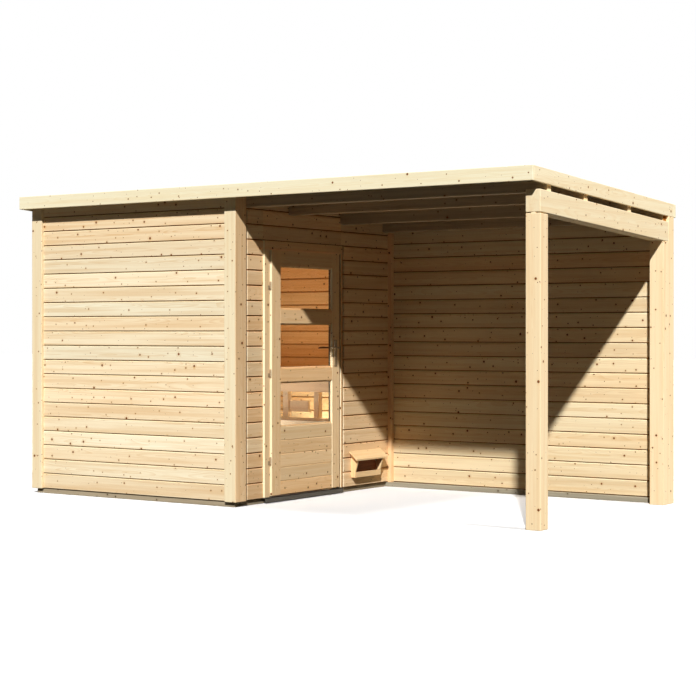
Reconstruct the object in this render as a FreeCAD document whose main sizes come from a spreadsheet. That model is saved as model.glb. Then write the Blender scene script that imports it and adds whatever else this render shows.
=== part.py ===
import FreeCAD, Part
import os
import re
import Sketcher

# Outdoor sauna cabin with an open annex under the same single-pitch roof.
# Millimetres. X runs along the front, Y from front to back, Z up. The origin is at
# ground level under the middle of the roof outline.

SIZES = {
    # outline
    "house_length": 4650,       # over the posts, along X
    "cabin_length": 2106,       # closed cabin, over its corner posts
    "front_overhang": 104,      # roof in front of the posts
    "rear_lip": 35,             # rear fascia behind the posts
    "left_lip": 38,             # roof beyond the left posts
    "roof_slope": 0.052,        # fall of the roof towards the back, per millimetre
    # foundation and floor
    "sill_height": 38,
    "sill_width": 70,
    "sill_inset": 32,
    "floor_thick": 19,
    # walls of horizontal boards
    "wall_thick": 38,
    "board_cover": 115,         # visible height of one cabin board
    "first_board": 123,         # lowest cabin board
    "annex_cover": 117.5,       # visible height of one annex board
    "annex_first": 124,
    "groove_depth": 12,
    "groove_gap": 5,            # square recess under the upper board
    "groove_bevel": 7,          # bevel along the top of the lower board
    "corner_width": 108,        # cabin corner posts along X
    "corner_depth": 132,        # cabin corner posts along Y
    "corner_proud": 12,         # posts stand this far proud of the side walls
    "front_proud": 20,          # and of the front wall
    "wall_before_door": 221,    # from the corner post to the door casing
    "wall_behind_door": 731,    # from the door casing to the back wall
    "wall_over_door": 363,      # from the casing to the roof boards, at the roof's front edge
    "batten_width": 38,
    "batten_thick": 40,
    # annex
    "post_width": 110,
    "post_depth": 110,
    "rear_post_depth": 200,
    "rear_post_ledge": 100,     # part of the rear post that carries the beam
    "beam_height": 150,
    # roof
    "fascia_height": 100,
    "fascia_thick": 19,
    "fascia_lip": 10,           # fascia above the felt
    "felt_thick": 3,
    "deck_thick": 19,
    "joist_width": 58,
    "joist_height": 112,
    "joist_count": 4,
    "second_joist_forward": 80, # from an even spacing
    # door
    "jamb_front": 63,
    "jamb_rear": 63,
    "head_height": 64,
    "casing_proud": 16,
    "leaf_width": 902,
    "leaf_height": 1877,
    "leaf_thick": 40,
    "leaf_proud": 17,           # leaf in front of the casing
    "leaf_bottom": 56,
    "door_gap": 5,
    "stile_width": 112,
    "lock_stile_width": 101,
    "top_rail": 118,
    "middle_rail": 107,
    "lower_rail": 103,
    "upper_pane": 337,
    "middle_pane": 347,
    "lower_pane": 343,
    "glass_thick": 5,
    "glass_setback": 16,
    "panel_setback": 2,
    "panel_boards": 5,
    "panel_lowest": 122,        # lowest board of the panel
    "panel_groove": 3,
    "threshold_thick": 8,
    "threshold_bottom": 6,
    "threshold_proud": 8,
    "hinge_radius": 7,
    "hinge_length": 60,
    "hinge_plate": 2,
    "hinge_reach": 22,
    "hinge_play": 0.5,          # barrel beside the leaf's edge
    "hinge_split": 1,
    "hinge_low": 292,
    "hinge_spacing": 669,
    "handle_height": 1179,
    "handle_backset": 60,       # from the leaf's lock edge
    "handle_plate_width": 40,
    "handle_plate_height": 208,
    "handle_plate_thick": 6,
    "handle_plate_drop": 147,   # plate below the lever's axis
    "lever_radius": 8,
    "lever_neck_radius": 7,
    "lever_length": 125,
    "lever_stand": 42,
    # vent hood
    "hood_offset": 145,         # from the door casing
    "hood_length": 380,
    "hood_depth": 42,           # at its foot
    "hood_reach": 70,           # of the leaning cheeks, at the lid
    "hood_bottom": 114,
    "hood_board": 16,
    "hood_lip": 45,
    "lid_side": 28,             # lid beside the hood's near cheek
    "lid_length": 465,
    "lid_reach": 76,
    "lid_top": 332,
    "lid_fall": 64,
    "lid_thick": 15,
    # benches
    "bench_depth": 555,
    "bench_top": 950,
    "bench_board": 28,
    "bench_slat": 86,
    "bench_front_height": 118,
    "bench_front_thick": 28,
    "bench_leg": 52,
    "leg_offset": 332,          # last leg from the door wall
    "leg_spacing": 320,
    "low_bench_depth": 400,
    "low_bench_top": 590,
    "cross_panel_length": 193,
    "cross_panel_height": 91,
    "cross_panel_bottom": 635,
}

# Places worked out from the sizes
PLACES = {
    "door_width": "jamb_front + leaf_width + jamb_rear + 2 * door_gap",
    "house_depth": "corner_depth + wall_before_door + door_width + wall_behind_door + wall_thick",
    "front_height": "head_top + wall_over_door + deck_thick + felt_thick + fascia_lip",
    "left": "-(house_length - left_lip) / 2",
    "front": "-(house_depth + rear_lip - front_overhang) / 2",
    "back": "front + house_depth",
    "roof_front": "front - front_overhang",
    "roof_back": "back + rear_lip",
    "deck_left": "left - left_lip + fascia_thick",
    "cabin_right": "left + cabin_length",
    "door_face": "cabin_right - corner_proud",
    "door_inner": "door_face - wall_thick",
    "post_wall": "wall_thick + corner_proud",
    "front_post_wall": "wall_thick + front_proud",
    "front_face": "front + front_proud",
    "left_face": "left + corner_proud",
    "back_inner": "back - wall_thick",
    "annex_right": "left + house_length",
    "post_left": "annex_right - post_width",
    "deck_right": "annex_right - fascia_thick",
    # heights under the roof: each is a height at the roof's front edge
    "deck_top": "front_height - fascia_lip - felt_thick",
    "deck_low": "deck_top - deck_thick",
    "joist_low": "deck_low - joist_height",
    "fascia_low": "front_height - fascia_height",
    "beam_low": "joist_low - beam_height",
    # door
    "door_open": "front + corner_depth + wall_before_door",
    "leaf_start": "door_open + jamb_front + door_gap",
    "leaf_end": "leaf_start + leaf_width",
    "jamb_two": "leaf_end + door_gap",
    "door_close": "jamb_two + jamb_rear",
    "leaf_top": "leaf_bottom + leaf_height",
    "head_low": "leaf_top + door_gap",
    "head_top": "head_low + head_height",
    "casing_low": "sill_height + threshold_thick",
    "casing_face": "door_face + casing_proud",
    "leaf_face": "casing_face + leaf_proud",
    "leaf_inner": "leaf_face - leaf_thick",
    "opening_start": "leaf_start + stile_width",
    "opening_width": "leaf_width - stile_width - lock_stile_width",
    "upper_pane_low": "leaf_top - top_rail - upper_pane",
    "middle_pane_low": "upper_pane_low - middle_rail - middle_pane",
    "lower_pane_low": "middle_pane_low - lower_rail - lower_pane",
    "hinge_x": "casing_face + hinge_plate + hinge_radius",
    "hinge_y": "leaf_start - hinge_play - hinge_radius",
    "handle_y": "leaf_end - handle_backset",
    "handle_low": "handle_height - handle_plate_drop",
    "panel_height": "lower_pane_low - leaf_bottom",
    "panel_pitch": "(panel_height - panel_lowest) / (panel_boards - 1)",
    "hood_start": "door_close + hood_offset",
    # joists, the first against the corner post and the last against the rear post
    "joist_first": "corner_depth",
    "joist_last": "back - rear_post_depth + rear_post_ledge - joist_width",
    "joist_pitch": "(joist_last - front - joist_first) / (joist_count - 1)",
    # benches
    "bench_front": "back_inner - bench_depth",
    "low_bench_front": "bench_front - low_bench_depth",
    "last_leg": "door_inner - leg_offset - bench_leg",
    "room_left": "left_face + wall_thick",
    "room_length": "door_inner - room_left",
    "room_front": "front_face + wall_thick",
    "floor_top": "sill_height + floor_thick",
}

WORD = re.compile(r"[a-z_]+[a-z0-9_]*")
FUNCTIONS = ("floor", "max", "min")

doc = FreeCAD.newDocument("sauna_cabin")
sheet = doc.addObject("Spreadsheet::Sheet", "Sizes")
for row, (alias, size) in enumerate(SIZES.items(), start=1):
    sheet.set(f"A{row}", alias.replace("_", " "))
    sheet.set(f"B{row}", str(size))
    sheet.setAlias(f"B{row}", alias)
doc.recompute()

nodes = []


def formula(text):
    """A text of size and place names as an expression on the sheet's cells."""
    def swap(match):
        word = match.group(0)
        if word in FUNCTIONS:
            return word
        if word in PLACES:
            return "(" + formula(PLACES[word]) + ")"
        if word in SIZES:
            return "Sizes." + word
        raise KeyError(word)
    return WORD.sub(swap, str(text))


def bind(thing, **formulas):
    for name, text in formulas.items():
        thing.setExpression(name, formula(text))


def place(thing, x="0", y="0", z="0"):
    for axis, text in zip("xyz", (x, y, z)):
        thing.setExpression("Placement.Base." + axis, formula(text))
    return thing


def under(line, y):
    """Height at depth y of a roof line given by its height at the roof's front edge."""
    return f"({line}) - roof_slope * ({y} - roof_front)"


def node(thing, label):
    thing.Label = label
    nodes.append(thing)
    return thing


def box(name, x, y, z, along_x, along_y, along_z):
    thing = doc.addObject("Part::Box", name)
    bind(thing, Length=along_x, Width=along_y, Height=along_z)
    return place(thing, x, y, z)


def join(name, pieces):
    thing = doc.addObject("Part::MultiFuse", name)
    thing.Shapes = pieces
    return thing


def plane(body, role):
    for feature in body.Origin.OriginFeatures:
        if feature.Role == role:
            return feature
    raise KeyError(role)


def outline(body, role, points):
    """A closed sketch on one of the body's planes, with each corner at a formula pair."""
    sketch = body.newObject("Sketcher::SketchObject", body.Name + "_" + role[:2] + "_sketch")
    sketch.AttachmentSupport = [(plane(body, role), "")]
    sketch.MapMode = "FlatFace"
    count = len(points)
    ring = [FreeCAD.Vector(100, 0, 0)]
    turn = FreeCAD.Rotation(FreeCAD.Vector(0, 0, 1), 360 / count)
    while len(ring) < count:
        ring.append(turn.multVec(ring[-1]))
    for index in range(count):
        sketch.addGeometry(Part.LineSegment(ring[index], ring[(index + 1) % count]), False)
    for index in range(count):
        sketch.addConstraint(Sketcher.Constraint("Coincident", index, 2, (index + 1) % count, 1))
    for index, corner in enumerate(points):
        for kind, start, text in zip(("DistanceX", "DistanceY"), ring[index][:2], corner):
            spot = sketch.addConstraint(Sketcher.Constraint(kind, -1, 1, index, 1, start))
            sketch.setExpression(f"Constraints[{spot}]", formula(text))
    return sketch


def slab(name, points, along_x, x="0", y="0", z="0"):
    """A body with a side profile of (y, z) corners, drawn out along X."""
    body = doc.addObject("PartDesign::Body", name)
    sketch = outline(body, "YZ_Plane", points)
    pad = body.newObject("PartDesign::Pad", name + "_pad")
    pad.Profile = sketch
    bind(pad, Length=along_x)
    sketch.Visibility = False
    return place(body, x, y, z)


def board_grooves(body, runs_along, faces, first, cover, height):
    """Cuts the joints between horizontal boards into a wall.

    faces gives for each grooved face its distance from the body's origin and the side
    that it looks to. A joint is a square recess under the upper board and a bevel along
    the top of the lower one.
    """
    role = "YZ_Plane" if runs_along == "x" else "XZ_Plane"
    for number, (face, side) in enumerate(faces):
        deep = f"({face}) {'-' if side > 0 else '+'} groove_depth"
        free = f"({face}) {'+' if side > 0 else '-'} 1"
        corners = [
            (free, f"({first}) + groove_gap"),
            (deep, f"({first}) + groove_gap"),
            (deep, f"{first}"),
            (f"{face}", f"({first}) - groove_bevel"),
            (free, f"({first}) - groove_bevel"),
        ]
        sketch = outline(body, role, corners)
        cut = body.newObject("PartDesign::Pocket", f"{body.Name}_joint{number}")
        cut.Profile = sketch
        cut.Type = 1
        cut.Midplane = True
        sketch.Visibility = False
        row = body.newObject("PartDesign::LinearPattern", f"{body.Name}_joints{number}")
        row.Originals = [cut]
        row.Direction = (sketch, ["V_Axis"])
        count = f"floor((({height}) - ({first}) - groove_gap) / ({cover})) + 1"
        bind(row, Occurrences=count, Length=f"({count} - 1) * ({cover})")
        body.Tip = row
    return body


# Foundation

def foundation():
    inset_left = "left + sill_inset"
    inset_front = "front + sill_inset"
    run_y = "house_depth - 2 * sill_inset - 2 * sill_width"
    node(box("sill_front", inset_left, inset_front, "0",
             "cabin_length - 2 * sill_inset", "sill_width", "sill_height"), "sill_front")
    node(box("sill_back", inset_left, "back - sill_inset - sill_width + wall_thick / 2", "0",
             "post_left - left - sill_inset", "sill_width", "sill_height"), "sill_back")
    for name, x in (("sill_left", inset_left),
                    ("sill_door_side", "cabin_right - sill_inset - sill_width")):
        node(box(name, x, "front + sill_inset + sill_width", "0",
                 "sill_width", run_y + " + wall_thick / 2", "sill_height"), name)
    node(box("cabin_floor", "room_left", "room_front", "sill_height",
             "room_length", "back_inner - room_front", "floor_thick"), "cabin_floor")


# Posts

def corner_post(name, x, leg_x, y, leg_y, leg_thick, roof_line):
    """An L-shaped post flush with the inner faces of the two walls that meet in it."""
    legs = []
    for part, start_x, width, start_y, run in (("a", x, "corner_width", leg_y, leg_thick),
                                               ("b", leg_x, "post_wall", y, "corner_depth")):
        top = [("0", "0"), (run, "0"),
               (run, under(roof_line, f"{start_y} + {run}") + " - sill_height"),
               ("0", under(roof_line, start_y) + " - sill_height")]
        legs.append(slab(f"{name}_{part}", top, width, start_x, start_y, "sill_height"))
    node(join(name, legs), name)


def posts():
    right = "cabin_right - corner_width"
    corner_post("corner_post_front_left", "left", "left", "front", "front", "front_post_wall",
                "deck_low")
    corner_post("corner_post_front_right", right, "door_inner", "front", "front",
                "front_post_wall", "deck_low")
    corner_post("corner_post_back_left", "left", "left", "back - corner_depth", "back_inner",
                "wall_thick", "deck_low")
    top = [("0", "0"), ("post_depth", "0"), ("post_depth", under("beam_low", "front + post_depth")),
           ("0", under("beam_low", "front"))]
    node(slab("annex_post_front", top, "post_width", "post_left", "front"), "annex_post_front")
    ledge = "back - rear_post_depth"
    step = f"{ledge} + rear_post_ledge"
    top = [("0", "0"), ("rear_post_depth", "0"),
           ("rear_post_depth", under("fascia_low", "back")),
           ("rear_post_ledge", under("fascia_low", step)),
           ("rear_post_ledge", under("beam_low", step)),
           ("0", under("beam_low", ledge))]
    node(slab("annex_post_rear", top, "post_width", "post_left", ledge), "annex_post_rear")
    run = "house_depth - rear_post_depth + rear_post_ledge"
    side = [("0", under("beam_low", "front")), (run, under("beam_low", f"front + {run}")),
            (run, under("joist_low", f"front + {run}")), ("0", under("joist_low", "front"))]
    node(slab("side_beam", side, "post_width", "post_left", "front"), "side_beam")


# Walls

def wall_along_x(name, x, y, along_x, roof_line, faces, first, cover):
    far = f"{y} + wall_thick"
    side = [("0", "0"), ("wall_thick", "0"),
            ("wall_thick", under(roof_line, far) + " - sill_height"),
            ("0", under(roof_line, y) + " - sill_height")]
    wall = slab(name, side, along_x, x, y, "sill_height")
    board_grooves(wall, "x", faces, first, cover, under(roof_line, far) + " - sill_height - groove_gap")
    node(wall, name)


def wall_along_y(name, x, start, end, bottom, faces, first):
    run = f"({end}) - ({start})"
    side = [("0", "0"), (run, "0"), (run, under("deck_low", end) + f" - ({bottom})"),
            ("0", under("deck_low", start) + f" - ({bottom})")]
    wall = slab(name, side, "wall_thick", x, start, bottom)
    board_grooves(wall, "y", faces, first, "board_cover",
                  under("deck_low", end) + f" - ({bottom}) - groove_gap")
    node(wall, name)


def walls():
    outer_front = [("0", -1), ("wall_thick", 1)]
    wall_along_x("front_wall", "left + corner_width", "front_face",
                 "cabin_length - 2 * corner_width", "deck_low", outer_front,
                 "first_board", "board_cover")
    wall_along_x("cabin_back_wall", "left + corner_width", "back_inner",
                 "door_face - left - corner_width", "deck_low", outer_front,
                 "first_board", "board_cover")
    wall_along_x("annex_back_wall", "door_face", "back_inner", "post_left - door_face",
                 "deck_low", outer_front, "annex_first", "annex_cover")
    both = [("wall_thick", 1), ("0", -1)]
    wall_along_y("left_wall", "left_face", "front + corner_depth", "back - corner_depth",
                 "sill_height", both, "first_board")
    wall_along_y("door_wall_front", "door_inner", "front + corner_depth", "door_open",
                 "sill_height", both, "first_board")
    wall_along_y("door_wall_rear", "door_inner", "door_close", "back_inner",
                 "sill_height", both, "first_board")
    over = ("first_board + board_cover * (floor((head_top - sill_height - first_board)"
            " / board_cover) + 1) + sill_height - head_top")
    wall_along_y("door_wall_top", "door_inner", "door_open", "door_close",
                 "head_top", both, over)
    node(box("corner_batten", "door_face", "back_inner - batten_thick", "sill_height",
             "batten_width", "batten_thick",
             under("joist_low", "back_inner") + " - sill_height"), "corner_batten")


# Roof

def roof_slab(name, x, along_x, start, end, low, high):
    run = f"({end}) - ({start})"
    side = [("0", under(low, start)), (run, under(low, end)),
            (run, under(high, end)), ("0", under(high, start))]
    node(slab(name, side, along_x, x, start), name)


def roof():
    for number in range(SIZES["joist_count"]):
        start = f"front + joist_first + {number} * joist_pitch"
        if number == 1:
            start += " - second_joist_forward"
        end = start + " + joist_width"
        side = [("0", under("joist_low", start)), ("joist_width", under("joist_low", end)),
                ("joist_width", under("deck_low", end)), ("0", under("deck_low", start))]
        joist = slab(f"joist_{number + 1}", side, "deck_right - door_face", "door_face", start)
        node(joist, f"joist_{number + 1}")
    for name, low, high in (("roof_deck", "deck_low", "deck_top"),
                            ("roof_felt", "deck_top", "deck_top + felt_thick")):
        roof_slab(name, "deck_left", "deck_right - deck_left", "roof_front + fascia_thick",
                  "back", low, high)
    for name, start, end in (("fascia_front", "roof_front", "roof_front + fascia_thick"),
                             ("fascia_back", "back", "roof_back")):
        roof_slab(name, "left - left_lip", "house_length + left_lip", start, end,
                  "fascia_low", "front_height")
    for name, x in (("fascia_left", "left - left_lip"), ("fascia_right", "deck_right")):
        roof_slab(name, x, "fascia_thick", "roof_front + fascia_thick", "back",
                  "fascia_low", "front_height")


# Door casing, threshold and leaf

def door_casing():
    depth = "wall_thick + casing_proud"
    node(box("casing_front", "door_inner", "door_open", "casing_low", depth, "jamb_front",
             "head_low - casing_low"), "casing_front")
    node(box("casing_rear", "door_inner", "jamb_two", "casing_low", depth, "jamb_rear",
             "head_low - casing_low"), "casing_rear")
    node(box("casing_head", "door_inner", "door_open", "head_low", depth,
             "door_close - door_open", "head_height"), "casing_head")
    reach = depth + " + threshold_proud"
    width = "door_close - door_open"
    tread = box("threshold_tread", "door_inner", "door_open", "sill_height", reach, width,
                "threshold_thick")
    apron = box("threshold_apron", "casing_face + threshold_proud - threshold_thick", "door_open",
                "threshold_bottom", "threshold_thick", width, "casing_low - threshold_bottom")
    node(join("threshold", [tread, apron]), "threshold")


def door_leaf():
    for name, y, width in (("door_stile_hinge", "leaf_start", "stile_width"),
                           ("door_stile_lock", "leaf_end - lock_stile_width",
                            "lock_stile_width")):
        node(box(name, "leaf_inner", y, "leaf_bottom", "leaf_thick", width,
                 "leaf_height"), name)
    for name, z, height in (("door_rail_top", "leaf_top - top_rail", "top_rail"),
                            ("door_rail_middle", "upper_pane_low - middle_rail", "middle_rail"),
                            ("door_rail_lower", "middle_pane_low - lower_rail", "lower_rail")):
        node(box(name, "leaf_inner", "opening_start", z, "leaf_thick", "opening_width",
                 height), name)
    for name, z, height in (("pane_upper", "upper_pane_low", "upper_pane"),
                            ("pane_middle", "middle_pane_low", "middle_pane"),
                            ("pane_lower", "lower_pane_low", "lower_pane")):
        node(box(name, "leaf_face - glass_setback - glass_thick", "opening_start", z,
                 "glass_thick", "opening_width", height), name)
    panel = doc.addObject("PartDesign::Body", "door_panel")
    front = [("0", "0"), ("opening_width", "0"), ("opening_width", "panel_height"),
             ("0", "panel_height")]
    pad = panel.newObject("PartDesign::Pad", "door_panel_pad")
    pad.Profile = outline(panel, "YZ_Plane", front)
    bind(pad, Length="leaf_thick - panel_setback")
    face = "leaf_thick - panel_setback"
    corners = [(face + " + 1", "panel_lowest + panel_groove / 2 + 1"),
               (face + " - panel_groove / 2", "panel_lowest"),
               (face + " + 1", "panel_lowest - panel_groove / 2 - 1")]
    sketch = outline(panel, "XZ_Plane", corners)
    cut = panel.newObject("PartDesign::Pocket", "door_panel_joint")
    cut.Profile = sketch
    cut.Type = 1
    cut.Midplane = True
    row = panel.newObject("PartDesign::LinearPattern", "door_panel_joints")
    row.Originals = [cut]
    row.Direction = (sketch, ["V_Axis"])
    bind(row, Occurrences="panel_boards - 1", Length="(panel_boards - 2) * panel_pitch")
    panel.Tip = row
    node(place(panel, "leaf_inner", "opening_start", "leaf_bottom"), "door_panel")


def rod(name, x, y, z, radius, length, axis=None):
    thing = doc.addObject("Part::Cylinder", name)
    bind(thing, Radius=radius, Height=length)
    if axis:
        thing.Placement.Rotation = FreeCAD.Rotation(FreeCAD.Vector(0, 0, 1), axis)
    return place(thing, x, y, z)


def hinges():
    half = "(hinge_length - hinge_split) / 2"
    fixed = []
    swung = []
    for number in range(3):
        low = f"hinge_low + {number} * hinge_spacing"
        high = f"{low} + {half} + hinge_split"
        barrel = rod(f"hinge_frame_barrel_{number}", "hinge_x", "hinge_y", low,
                     "hinge_radius", half)
        flap = box(f"hinge_frame_flap_{number}", "casing_face", "hinge_y - hinge_reach", low,
                   "hinge_plate", "hinge_reach", half)
        neck = box(f"hinge_frame_neck_{number}", "casing_face", "hinge_y - hinge_plate", low,
                   "hinge_x - casing_face", "hinge_plate", half)
        fixed.append(join(f"hinge_frame_{number}", [barrel, flap, neck]))
        barrel = rod(f"hinge_leaf_barrel_{number}", "hinge_x", "hinge_y", high,
                     "hinge_radius", half)
        neck = box(f"hinge_leaf_neck_{number}", "hinge_x - hinge_plate", "hinge_y", high,
                   "2 * hinge_plate", "leaf_start - hinge_y", half)
        swung.append(join(f"hinge_leaf_{number}", [barrel, neck]))
    return fixed, swung


def handle(name, side):
    """A long plate on the lock stile with a lever that points towards the hinges."""
    face = "leaf_face" if side > 0 else "leaf_inner - handle_plate_thick"
    neck_x = "leaf_face" if side > 0 else "leaf_inner - lever_stand"
    lever_x = "leaf_face + lever_stand" if side > 0 else "leaf_inner - lever_stand"
    plate = box(name + "_plate", face, "handle_y - handle_plate_width / 2", "handle_low",
                "handle_plate_thick", "handle_plate_width", "handle_plate_height")
    neck = rod(name + "_neck", neck_x, "handle_y", "handle_height", "lever_neck_radius",
               "lever_stand", FreeCAD.Vector(1, 0, 0))
    lever = rod(name + "_lever", lever_x, "handle_y + lever_radius", "handle_height",
                "lever_radius", "lever_length", FreeCAD.Vector(0, -1, 0))
    return node(join(name, [plate, neck, lever]), name)


# Vent hood

def vent_hood():
    height = "lid_top - hood_bottom"
    cheek_top = "lid_top - hood_bottom - lid_thick"
    front_top = "lid_top - hood_bottom - lid_thick - lid_fall * hood_reach / lid_reach"
    cheeks = []
    for name, y in (("near", "hood_start"),
                    ("far", "hood_start + hood_length - hood_board")):
        body = doc.addObject("PartDesign::Body", "hood_cheek_" + name)
        corners = [("0", "0"), ("hood_depth", "0"), ("hood_depth", "hood_lip"),
                   ("hood_reach", front_top), ("0", cheek_top)]
        pad = body.newObject("PartDesign::Pad", f"hood_cheek_{name}_pad")
        pad.Profile = outline(body, "XZ_Plane", corners)
        pad.Reversed = True
        bind(pad, Length="hood_board")
        cheeks.append(place(body, "door_face", y, "hood_bottom"))
    lip = box("hood_lip_board", "door_face + hood_depth - hood_board",
              "hood_start + hood_board", "hood_bottom", "hood_board",
              "hood_length - 2 * hood_board", "hood_lip")
    bottom = box("hood_bottom_board", "door_face", "hood_start + hood_board",
                 "hood_bottom", "hood_depth - hood_board", "hood_length - 2 * hood_board",
                 "hood_board")
    node(join("vent_hood", cheeks + [lip, bottom]), "vent_hood")
    lid = doc.addObject("PartDesign::Body", "vent_hood_lid")
    corners = [("0", "lid_fall"), ("lid_reach", "0"), ("lid_reach", "lid_thick"),
               ("0", "lid_fall + lid_thick")]
    pad = lid.newObject("PartDesign::Pad", "vent_hood_lid_pad")
    pad.Profile = outline(lid, "XZ_Plane", corners)
    pad.Reversed = True
    bind(pad, Length="lid_length")
    node(place(lid, "door_face", "hood_start - lid_side", "lid_top - lid_fall - lid_thick"),
         "vent_hood_lid")


# Benches

def benches():
    node(box("bench_upper_seat", "room_left", "bench_front", "bench_top - bench_board",
             "room_length", "bench_depth", "bench_board"), "bench_upper_seat")
    node(box("bench_upper_front", "room_left", "bench_front",
             "bench_top - bench_board - bench_front_height", "room_length",
             "bench_front_thick", "bench_front_height"), "bench_upper_front")
    legs = []
    for number in range(2):
        legs.append(box(f"bench_leg_{number}",
                        f"last_leg - {number} * leg_spacing",
                        "bench_front + bench_front_thick", "floor_top", "bench_leg",
                        "bench_leg", "bench_top - bench_board - floor_top"))
    rail = box("bench_cross_panel", "last_leg - leg_spacing + bench_leg",
               "bench_front + bench_front_thick + bench_leg / 2", "cross_panel_bottom",
               "cross_panel_length", "bench_board", "cross_panel_height")
    node(join("bench_legs", legs + [rail]), "bench_legs")
    node(box("bench_lower_seat", "room_left", "low_bench_front", "low_bench_top - bench_board",
             "room_length", "low_bench_depth", "bench_board"), "bench_lower_seat")
    node(box("bench_lower_front", "room_left", "low_bench_front", "floor_top",
             "room_length", "bench_front_thick", "low_bench_top - bench_board - floor_top"),
         "bench_lower_front")


foundation()
posts()
walls()
roof()
door_casing()
door_leaf()
fixed_hinges, swung_hinges = hinges()
node(join("hinges_frame", fixed_hinges), "hinges_frame")
node(join("hinges_leaf", swung_hinges), "hinges_leaf")
handle("handle_outside", 1)
handle("handle_inside", -1)
vent_hood()
benches()
doc.recompute()

for thing in doc.Objects:
    for state in ("Invalid", "Error"):
        if state in thing.State:
            raise RuntimeError(f"{thing.Name} is {thing.State}")
for thing in nodes:
    if thing.Shape.isNull() or not thing.Shape.isValid():
        raise RuntimeError(f"{thing.Label} has no valid shape")

os.makedirs("parts", exist_ok=True)
for thing in nodes:
    thing.Shape.exportStep(f"parts/{thing.Label}.step")
    solids = len(thing.Shape.Solids)
    print(f"{thing.Label}: {solids} solid(s), {thing.Shape.Volume / 1e9:.5f} m3")
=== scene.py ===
import bmesh
import bpy
import math
import random
from mathutils import Euler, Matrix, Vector


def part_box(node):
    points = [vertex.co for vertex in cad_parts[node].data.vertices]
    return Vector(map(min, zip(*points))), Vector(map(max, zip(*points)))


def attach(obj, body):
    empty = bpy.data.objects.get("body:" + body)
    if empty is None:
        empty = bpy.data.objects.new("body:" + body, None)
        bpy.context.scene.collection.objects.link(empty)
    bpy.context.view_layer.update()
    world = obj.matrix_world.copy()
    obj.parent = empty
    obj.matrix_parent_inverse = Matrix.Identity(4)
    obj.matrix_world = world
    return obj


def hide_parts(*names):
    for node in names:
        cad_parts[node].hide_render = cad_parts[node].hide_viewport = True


# Outdoor sauna cabin of spruce boards with an open annex under one single-pitch roof.
# Metres: X along the front, Y from front to back, Z up from the ground.

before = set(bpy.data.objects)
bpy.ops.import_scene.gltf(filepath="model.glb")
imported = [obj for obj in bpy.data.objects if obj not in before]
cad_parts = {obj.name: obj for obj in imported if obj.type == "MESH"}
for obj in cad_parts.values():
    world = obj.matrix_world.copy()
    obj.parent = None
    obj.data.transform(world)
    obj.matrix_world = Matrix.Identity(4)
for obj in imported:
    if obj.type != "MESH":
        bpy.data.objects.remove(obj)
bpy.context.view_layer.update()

# Roof timbers
ROOF_FALL = 0.052       # per metre towards the back
FASCIA_HEIGHT = 0.1
FASCIA_LIP = 0.01       # fascia above the felt
FELT_THICK = 0.003
DECK_THICK = 0.019
JOIST_HEIGHT = 0.112
BEAM_HEIGHT = 0.15

# Roof lines: each is a height at the roof's front edge, and falls towards the back
ROOF_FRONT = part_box("fascia_front")[0].y
ROOF_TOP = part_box("fascia_front")[1].z
FASCIA_LOW = ROOF_TOP - FASCIA_HEIGHT
FELT_TOP = ROOF_TOP - FASCIA_LIP
DECK_TOP = FELT_TOP - FELT_THICK
DECK_LOW = DECK_TOP - DECK_THICK
JOIST_LOW = DECK_LOW - JOIST_HEIGHT
BEAM_LOW = JOIST_LOW - BEAM_HEIGHT
CUT_OFF = 0.01          # what a post is first drawn too long, before the roof line cuts it

# Wall boards
BOARD_COVER = 0.115
FIRST_BOARD = 0.123
ANNEX_COVER = 0.1175
ANNEX_FIRST = 0.124
JOINT_GAP = 0.0055      # recess under a board of the cabin
ANNEX_GAP = 0.007       # recess under a board that faces the annex
JOINT_BEVEL = 0.007     # along a board's top
JOINT_DEPTH = 0.012
EASED = 0.0015
END_JOINT = 0.0025      # between the front wall and its posts
CORNER_GROOVE = 0.03    # between the door wall and the corner post
CASING_GROOVE = 0.044   # between the door wall and the door casing

TOUCH = 0.0001          # by which two places may differ and still be one

# Axes, and the other two of each
AXES = "xyz"
ACROSS = {"x": "yz", "y": "xz", "z": "xy"}


def roof_line(line, y):
    return line - ROOF_FALL * (y - ROOF_FRONT)


def point(axis, along, a, b):
    """A point at a distance along an axis, with its other two coordinates in order."""
    place = [0.0, 0.0, 0.0]
    place[AXES.index(axis)] = along
    place[AXES.index(ACROSS[axis][0])] = a
    place[AXES.index(ACROSS[axis][1])] = b
    return Vector(place)


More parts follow.
